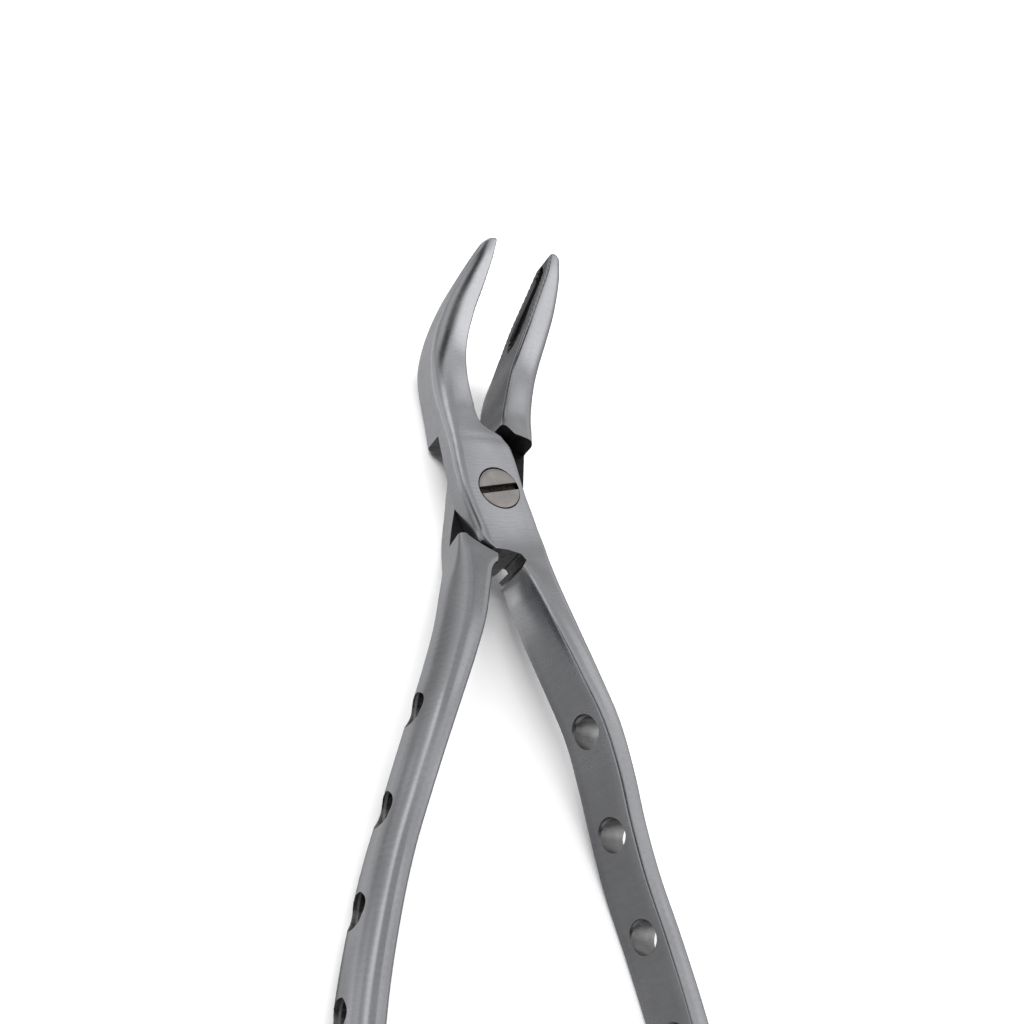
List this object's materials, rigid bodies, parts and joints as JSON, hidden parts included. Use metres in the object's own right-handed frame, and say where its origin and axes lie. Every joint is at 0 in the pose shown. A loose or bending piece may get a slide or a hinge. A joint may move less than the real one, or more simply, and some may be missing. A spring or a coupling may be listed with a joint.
{
  "type": "dental extraction forceps",
  "caption": "Steel dental extraction forceps: narrow serrated beaks curved to the front, a lap joint on a slotted screw, and long drilled handles.",
  "frame": {"origin": "on the pivot axis, in the plane of the joint's rear face, which is also the plane it lies on", "axes": "+Z along the pivot axis towards the screw head, +Y towards the tips of the beaks"},
  "size_m": [0.0656, 0.1655, 0.0265],
  "materials": {
    "steel": "satin ground stainless steel",
    "screw_steel": "turned stainless steel, a little warmer"
  },
  "bodies": {
    "rear_arm": {"rear_half": "steel", "pivot_screw": "screw_steel"},
    "front_arm": {"front_half": "steel"}
  },
  "joints": [
    {"name": "pivot", "type": "hinge", "parent": "rear_arm", "child": "front_arm", "pos_m": [0, 0, 0.005], "axis": [0, 0, 1], "range_deg": [-14, 16]}
  ]
}
